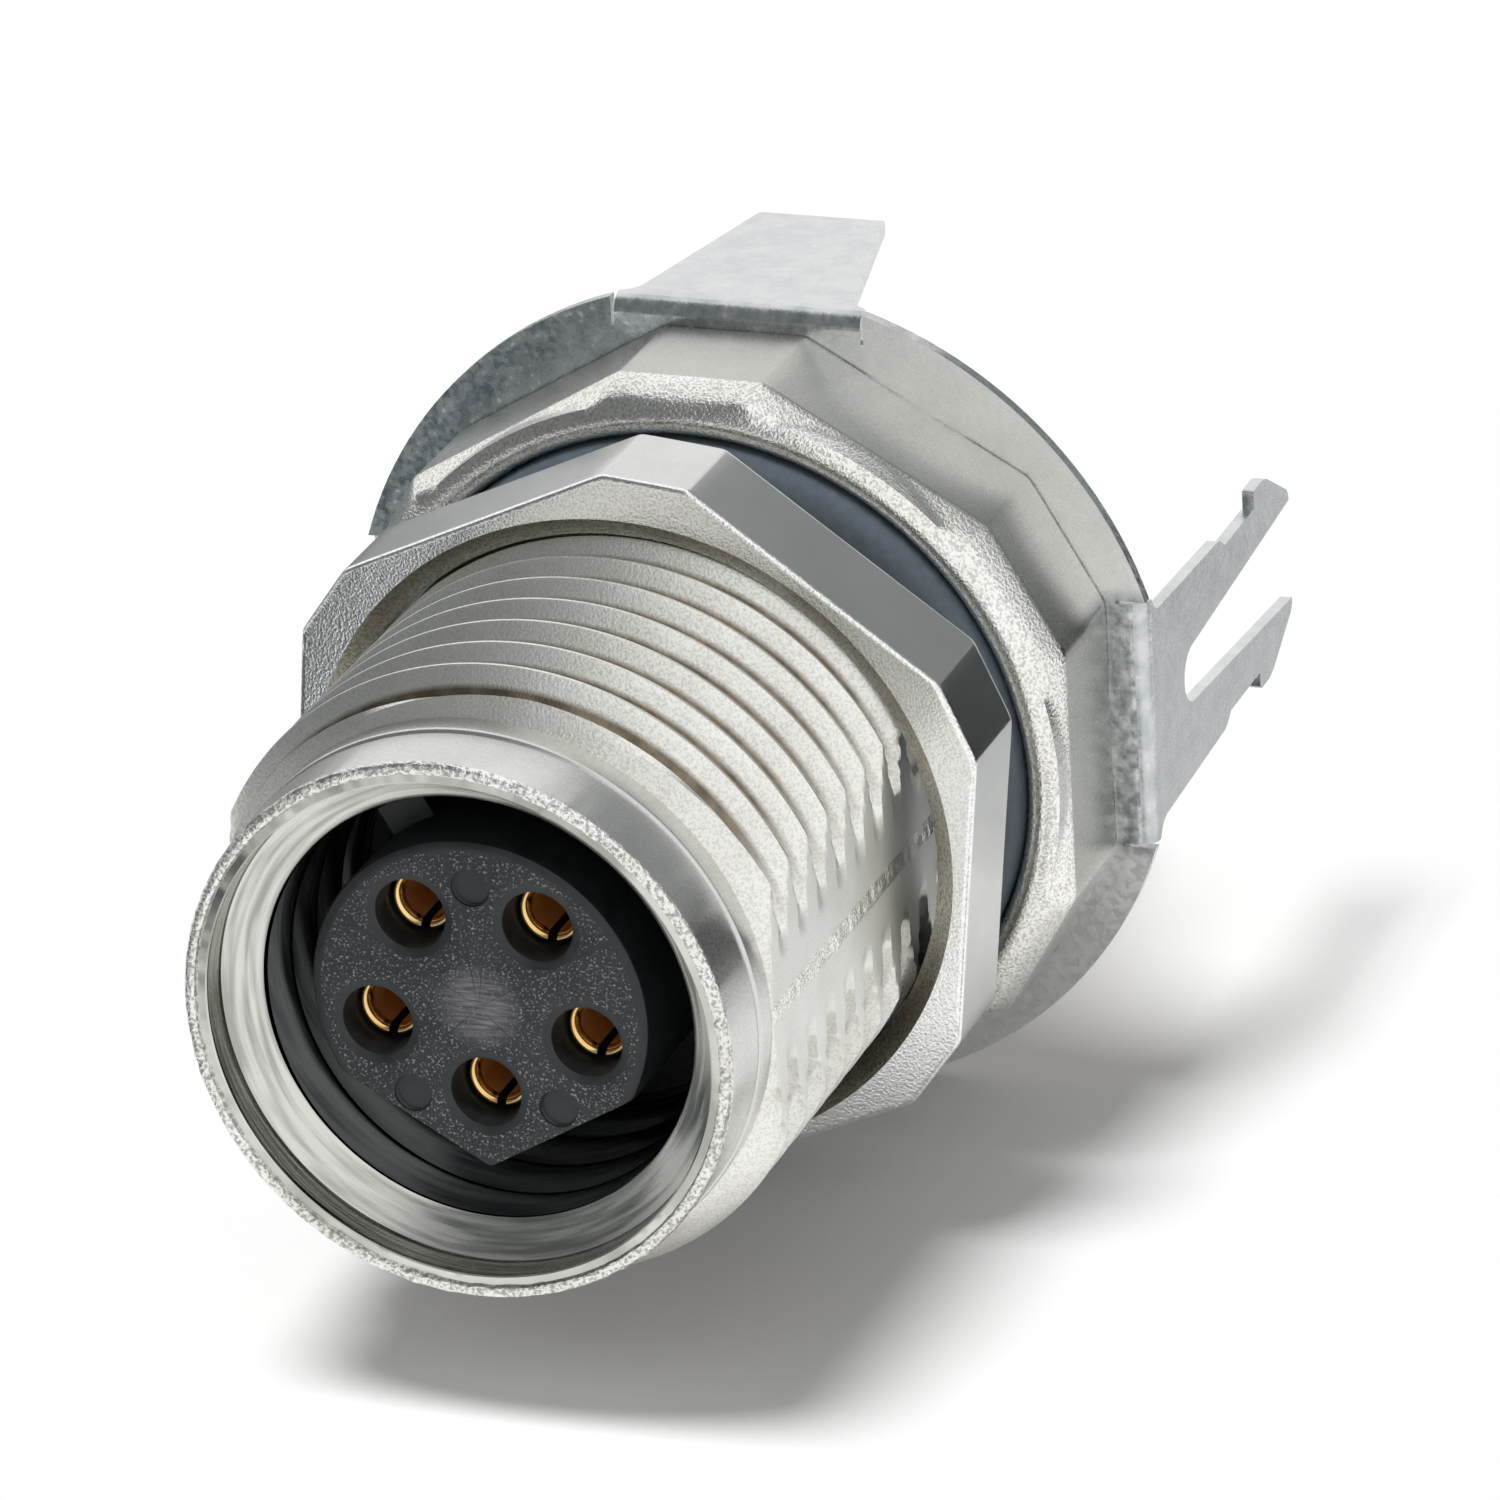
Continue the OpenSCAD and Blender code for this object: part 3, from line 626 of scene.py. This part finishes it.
for part in range(1, 12):
    lean = math.pi * part / 12
    fork_round.append((FORK_SLOT_R * math.cos(lean), FORK_SLOT_END - FORK_SLOT_R * math.sin(lean)))
fork_rim = fork_half + fork_round + [(-across, back) for across, back in reversed(fork_half)]
PLAIN_LUG = {"rim": plain_rim, "soft": [(1.09, 6.98, 0.06)]}
FORK = {"rim": fork_rim, "soft": [(1.67, 6.7, 0.12), (1.78, 8.58, 0.08), (1.78, 9.2, 0.2), (1.05, 10.45, 0.14)]}
lugs = [(0, FORK), (90, PLAIN_LUG), (180, FORK), (270, PLAIN_LUG)]


def lug_point(degrees, across, out, back):
    """Gives a place by its distance across a lug, out from the axis and back from the panel seat, in mm."""
    angle = math.radians(degrees)
    x = out * math.cos(angle) - across * math.sin(angle)
    z = out * math.sin(angle) + across * math.cos(angle)
    return Vector((x, back, z)) * MM


def select_points(piece, places):
    """Selects the points at the given places, in edit mode."""
    bpy.ops.object.mode_set(mode="OBJECT")
    for edge in piece.data.edges:
        edge.select = False
    for face in piece.data.polygons:
        face.select = False
    for point in piece.data.vertices:
        point.select = any((point.co - place).length < JOINED for place in places)
    bpy.ops.object.mode_set(mode="EDIT")


def draw_chain(places):
    """Extrudes the one selected point, which lies at the first place, from place to place."""
    for here, there in zip(places, places[1:]):
        bpy.ops.mesh.extrude_region_move(TRANSFORM_OT_translate={"value": tuple(there - here)})


edge_places = []
inner = FOLD_LINE - SLIT_PAST
side = ROOT_HALF + SLIT
out = math.sqrt(PLATE_R ** 2 - side ** 2)
for degrees, _ in lugs:
    for across, reach in ((-side, out), (-side, inner), (-ROOT_HALF, inner), (-ROOT_HALF, FOLD_LINE),
                          (ROOT_HALF, FOLD_LINE), (ROOT_HALF, inner), (side, inner), (side, out)):
        edge_places.append(lug_point(degrees, across, reach, -PLATE_FRONT))
    start = degrees + math.degrees(math.asin(side / PLATE_R))
    end = degrees + 90 - math.degrees(math.asin(side / PLATE_R))
    for part in range(1, 24):
        edge_places.append(lug_point(start + (end - start) * part / 24, 0, PLATE_R, -PLATE_FRONT))
edge_places.append(edge_places[0])
folded_plate = start_piece("folded_plate", edge_places[0])
draw_chain(edge_places)
bpy.ops.mesh.primitive_circle_add(vertices=144, radius=PLATE_HOLE_R * MM, location=(0, -PLATE_FRONT * MM, 0),
                                  rotation=(math.pi / 2, 0, 0))
bpy.ops.mesh.select_all(action="SELECT")
bpy.ops.mesh.remove_doubles(threshold=JOINED)
bpy.ops.mesh.select_all(action="SELECT")
bpy.ops.mesh.fill(use_beauty=True)
for degrees, lug in lugs:
    corners = [lug_point(degrees, across, FOLD_LINE, -PLATE_FRONT) for across in (ROOT_HALF, -ROOT_HALF)]
    select_points(folded_plate, corners)
    along = (corners[0] - corners[1]).normalized()
    bpy.ops.mesh.spin(steps=6, angle=-math.pi / 2, axis=along,
                      center=lug_point(degrees, 0, FOLD_LINE, -PLATE_FRONT + FOLD_R))
    fold_end = [lug_point(degrees, across, LUG_FACE, -PLATE_FRONT + FOLD_R) for across in (ROOT_HALF, -ROOT_HALF)]
    rim = [lug_point(degrees, across, LUG_FACE, back) for across, back in lug["rim"]]
    select_points(folded_plate, fold_end[:1])
    draw_chain([fold_end[0], *rim, fold_end[1]])
    bpy.ops.mesh.select_all(action="SELECT")
    bpy.ops.mesh.remove_doubles(threshold=JOINED)
    select_points(folded_plate, [*fold_end, *rim])
    bpy.ops.mesh.edge_face_add()
    for across, back, softness in lug["soft"]:
        select_points(folded_plate, [lug_point(degrees, sign * across, LUG_FACE, back) for sign in (1, -1)])
        bpy.ops.mesh.bevel(affect="VERTICES", offset=softness * MM, segments=4)
bpy.ops.object.mode_set(mode="OBJECT")
close_mesh(folded_plate)
wall = folded_plate.modifiers.new("sheet", "SOLIDIFY")
wall.thickness = SHEET * MM
wall.offset = -1
bpy.ops.object.modifier_apply(modifier=wall.name)
smooth_faces(folded_plate, 30)


def tinned(name, dark, light, fleck):
    """Tinned sheet: a mottled blue-grey tint with lighter flecks, grain whose lighter colour is a painted glint;
    hands over its tint too.
    """
    finish, tree, shader = new_finish(name, 1.0, 0.25)
    mottle = add_grain(tree, 2600, 4)
    speck = add_grain(tree, 7000, 3)
    fine = add_grain(tree, 16000, 2)
    tint = add_ramp(tree, mottle, (0.36, dark), (0.62, light))
    # The flecks are grain; their lighter colour is a painted glint.
    flecks = add_ramp(tree, speck, (0.62, (0, 0, 0)), (0.72, (fleck, fleck, fleck)))
    tint = add_mix(tree, "ADD", tint, flecks)
    tree.links.new(tint, shader.inputs["Base Color"])
    tree.links.new(add_range(tree, speck, 0.2, 0.36), shader.inputs["Roughness"])
    shallow = add_bump(tree, shader, speck, 7e-6, 0.8)
    add_bump(tree, shader, fine, 1.5e-6, 0.6, shallow)
    return finish, tint


tin_lug, _ = tinned("tinned_lug", (0.64, 0.665, 0.67), (0.72, 0.735, 0.74), 0.1)
# Painted shade and light: the disc's tin is darker than the lugs', and towards its right side it turns near white as
# painted light.
tin_disc, tint = tinned("tinned_disc", (0.46, 0.5, 0.52), (0.6, 0.63, 0.65), 0.4)
tree = tin_disc.node_tree
shader = tree.nodes["Principled BSDF"]
right_side = add_range(tree, add_axis(tree, "X"), 0.0, 1.0, -0.001, 0.003)
painted_light_right = add_ramp(tree, add_grain(tree, 2600, 4), (0.36, (0.95, 0.955, 0.955)), (0.62, (0.99, 0.99, 0.99)))
stain = add_ramp(tree, add_grain(tree, 5000, 4), (0.38, (0.28, 0.3, 0.31)), (0.64, (0.62, 0.65, 0.66)))
brink = add_range(tree, add_axis(tree, "X"), 0.0, 1.0, 0.0059, 0.0061)
root = add_range(tree, add_math(tree, "ABSOLUTE", add_axis(tree, "Z")), 1.0, 0.0, 0.0021, 0.0024)
tint = add_mix(tree, "MIX", tint, painted_light_right, right_side)
tree.links.new(add_mix(tree, "MIX", tint, stain, add_math(tree, "MULTIPLY", brink, root)),
               shader.inputs["Base Color"])
# Painted shade: the sheet's bends and slanted edges get a darker copy of the tin.
shaded_fold, _ = tinned("shaded_tinned_fold", (0.5, 0.53, 0.54), (0.68, 0.7, 0.71), 0.15)
for finish in (tin_lug, tin_disc, shaded_fold):
    folded_plate.data.materials.append(finish)
for face in folded_plate.data.polygons:
    if face.normal.y < -0.98:
        face.material_index = 1
    elif max(abs(value) for value in face.normal) < 0.98:
        face.material_index = 2
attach(folded_plate, "connector")
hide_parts("shield_plate")


# Flange seal: a soft blue-grey rubber ring that lies in the flange's recess and stands a little proud.
# The panel is pressed down on its rounded face when the nut is tightened.
SEAL_IN, SEAL_OUT, SEAL_BACK, SEAL_FRONT, SEAL_CROWN = 4.56, 5.48, -0.94, 0.18, 0.4
seal_middle, seal_half = (SEAL_IN + SEAL_OUT) / 2, (SEAL_OUT - SEAL_IN) / 2
seal_outline = [(SEAL_IN, SEAL_BACK), (SEAL_OUT, SEAL_BACK)]
for part in range(13):
    lean = math.pi * part / 12
    crown = SEAL_FRONT - SEAL_CROWN + SEAL_CROWN * math.sin(lean)
    seal_outline.append((seal_middle + seal_half * math.cos(lean), crown))
seal_outline.append(seal_outline[0])
rubber_seal = turn_outline("rubber_seal", seal_outline)
smooth_faces(rubber_seal, 40)
rubber, tree, shader = new_finish("seal_rubber", 0.0, 0.55)
chalk = add_grain(tree, 7000, 3)
tree.links.new(add_ramp(tree, chalk, (0.3, (0.085, 0.108, 0.13)), (0.75, (0.12, 0.145, 0.17))),
               shader.inputs["Base Color"])
tree.links.new(add_range(tree, chalk, 0.45, 0.65), shader.inputs["Roughness"])
add_bump(tree, shader, chalk, 6e-6, 0.7)
rubber_seal.data.materials.append(rubber)
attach(rubber_seal, "connector")
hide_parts("flange_seal")


# Hexagon nut: a nickel-plated fastening nut that runs on the shell's thread and clamps the panel.
# Its corners are flattened, and its front face has the same sandy grain as the casting.
NUT_BACK, NUT_FRONT, NUT_HOLE_R, NUT_FLAT, NUT_CORNER, NUT_TURN = 1.32, 3.13, 5.05, 5.64, 6.11, -6
SINK, FRONT_SINK, FRONT_SINK_H = 0.17, 0.34, 0.26
fastening_nut = turn_outline("fastening_nut", [
    (NUT_HOLE_R, NUT_BACK + SINK), (NUT_HOLE_R + SINK, NUT_BACK), (PRESSED - 0.06, NUT_BACK),
    (PRESSED - 0.02, NUT_BACK + 0.02), (PRESSED, NUT_BACK + 0.06), (PRESSED, NUT_BACK + 0.1),
    (PRESSED, NUT_FRONT - 0.1), (PRESSED, NUT_FRONT - 0.06), (PRESSED - 0.02, NUT_FRONT - 0.02),
    (PRESSED - 0.06, NUT_FRONT), (PRESSED - 0.1, NUT_FRONT), (NUT_HOLE_R + FRONT_SINK + 0.04, NUT_FRONT),
    (NUT_HOLE_R + FRONT_SINK, NUT_FRONT), (NUT_HOLE_R, NUT_FRONT - FRONT_SINK_H), (NUT_HOLE_R, NUT_BACK + SINK)])
press_hexagon(fastening_nut, NUT_FLAT, NUT_CORNER, math.radians(NUT_TURN), 0)
smooth_faces(fastening_nut, 28)
nut_side = cast_nickel("nut_side_nickel", (0.68, 0.685, 0.675), (0.72, 0.725, 0.71), pit=0.97, grain=21000,
                       rough=(0.2, 0.25), depth=6e-7)
nut_face = cast_nickel("nut_face_nickel", (0.97, 0.965, 0.95), (1.0, 1.0, 0.99), pit=0.8, grain=22000,
                       rough=(0.14, 0.24), depth=7e-6)
nut_sink = cast_nickel("nut_sink_nickel", (0.66, 0.63, 0.54), (0.78, 0.76, 0.68), pit=0.62, grain=20000,
                       rough=(0.26, 0.4), depth=1.2e-5)
for finish in (nut_side, nut_face, nut_sink):
    fastening_nut.data.materials.append(finish)
for face in fastening_nut.data.polygons:
    if abs(face.normal.y) > 0.4:
        radius = math.hypot(face.center.x, face.center.z) / MM
        face.material_index = 2 if radius < NUT_HOLE_R + FRONT_SINK else 1
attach(fastening_nut, "nut")
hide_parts("hex_nut")


# Studio: a pale floor under the lugs, one large soft lamp, dark cards for the metal to reflect, and the camera.
# The background is white to the camera and to reflections, and dimmer as a light.
FLOOR_Z = cad_box[0][2]
SKY_LIGHT, SKY_SHOWN = 0.31, 1.0
LAMP_FROM, LAMP_ENERGY, LAMP_SPREAD = (-0.15, -0.25, 1.0), 2.4, 20
CARD_LIFT = 0.05
CAMERA_AWAY, CAMERA_LENS, CAMERA_SHIFT = 0.1499, 224.6, (0.0346, 0.006)
bpy.ops.object.select_all(action="DESELECT")
bpy.ops.mesh.primitive_plane_add(size=4, location=(0, 0, FLOOR_Z))
floor = bpy.context.object
floor.name = "studio_floor"
paper, tree, shader = new_finish("white_paper", 0.0, 0.9)
fleck = add_grain(tree, 40, 2)
tree.links.new(add_ramp(tree, fleck, (0.3, (0.97, 0.97, 0.97)), (0.7, (0.98, 0.98, 0.98))),
               shader.inputs["Base Color"])
shader.inputs["Specular IOR Level"].default_value = 0.0
floor.data.materials.append(paper)

world = bpy.data.worlds.new("studio_light")
bpy.context.scene.world = world
world.use_nodes = True
sky = world.node_tree
backdrop = sky.nodes["Background"]
backdrop.inputs["Color"].default_value = (1, 1, 1, 1)
path = sky.nodes.new("ShaderNodeLightPath")
camera_or_gloss = sky.nodes.new("ShaderNodeMath")
camera_or_gloss.operation = "MAXIMUM"
shown = sky.nodes.new("ShaderNodeMath")
shown.operation = "MAXIMUM"
level = sky.nodes.new("ShaderNodeMapRange")
level.inputs["To Min"].default_value = SKY_LIGHT
level.inputs["To Max"].default_value = SKY_SHOWN
sky.links.new(path.outputs["Is Camera Ray"], camera_or_gloss.inputs[0])
sky.links.new(path.outputs["Is Glossy Ray"], camera_or_gloss.inputs[1])
sky.links.new(camera_or_gloss.outputs[0], shown.inputs[0])
sky.links.new(path.outputs["Is Transmission Ray"], shown.inputs[1])
sky.links.new(shown.outputs[0], level.inputs["Value"])
sky.links.new(level.outputs["Result"], backdrop.inputs["Strength"])

bpy.ops.object.light_add(type="SUN")
lamp = bpy.context.object
lamp.name = "soft_lamp"
lamp.data.energy = LAMP_ENERGY
lamp.data.angle = math.radians(LAMP_SPREAD)
lamp.visible_glossy = False
lamp.matrix_world = Vector(LAMP_FROM).to_track_quat("Z", "Y").to_matrix().to_4x4()


def shade_card(card, name, grey):
    """Names a card, gives it an even tone and leaves it to reflections alone."""
    card.name = name
    shade = bpy.data.materials.new(name)
    shade.use_nodes = True
    nodes = shade.node_tree.nodes
    nodes.remove(nodes["Principled BSDF"])
    glow = nodes.new("ShaderNodeEmission")
    glow.inputs["Color"].default_value = (*grey, 1)
    shade.node_tree.links.new(glow.outputs["Emission"], nodes["Material Output"].inputs["Surface"])
    card.data.materials.append(shade)
    card.visible_camera = False
    card.visible_diffuse = False
    card.visible_shadow = False
    card.visible_transmission = False


def hang_card(name, turn, height, away, grey):
    """Hangs a curved card between two turns, from the back to the right, and two heights, all in degrees."""
    bpy.ops.object.select_all(action="DESELECT")
    bpy.ops.mesh.primitive_grid_add(x_subdivisions=16, y_subdivisions=8, size=1)
    card = bpy.context.object
    for point in card.data.vertices:
        around = math.radians(turn[0] + (turn[1] - turn[0]) * (point.co.x + 0.5))
        lift = math.radians(height[0] + (height[1] - height[0]) * (point.co.y + 0.5))
        flat = math.cos(lift) * away * MM
        point.co = (math.sin(around) * flat, math.cos(around) * flat, math.sin(lift) * away * MM)
    shade_card(card, name, grey)


def lay_card(name, low, high, grey):
    """Lays a card just over the floor between two corners in mm."""
    bpy.ops.object.select_all(action="DESELECT")
    bpy.ops.mesh.primitive_plane_add(size=1)
    card = bpy.context.object
    for point in card.data.vertices:
        x = low[0] + (high[0] - low[0]) * (point.co.x + 0.5)
        y = low[1] + (high[1] - low[1]) * (point.co.y + 0.5)
        point.co = (x * MM, y * MM, FLOOR_Z + CARD_LIFT * MM)
    shade_card(card, name, grey)


hang_card("dark_card", (33, 72), (-13, 12), 30, (0.015, 0.018, 0.018))
hang_card("upper_card", (14, 80), (12, 62), 31, (0.27, 0.29, 0.29))
hang_card("left_card", (-80, -22), (-13, 11), 32, (0.2, 0.22, 0.22))
hang_card("front_card", (-178, -80), (0, 75), 60, (0.17, 0.18, 0.18))
lay_card("low_card", (-45, -45), (-11.5, -9), (0.06, 0.08, 0.085))
lay_card("rear_card", (8.5, 9), (17, 32), (0.62, 0.63, 0.63))
lay_card("side_card", (9, -14), (14, -5), (0.34, 0.33, 0.28))

right = Vector((0.9357, 0.3479, -0.0582))
up = Vector((-0.0895, 0.3938, 0.9148))
back = Vector((0.3412, -0.8508, 0.3996))
bpy.ops.object.camera_add()
camera = bpy.context.object
camera.name = "photo_camera"
camera.matrix_world = Matrix.Translation(back * CAMERA_AWAY) @ Matrix((right, up, back)).transposed().to_4x4()
camera.data.sensor_width = 36
camera.data.lens = CAMERA_LENS
camera.data.shift_x, camera.data.shift_y = CAMERA_SHIFT
camera.data.clip_start = 0.01
camera.data.clip_end = 10
bpy.context.scene.camera = camera
bpy.context.scene.view_settings.view_transform = "Standard"
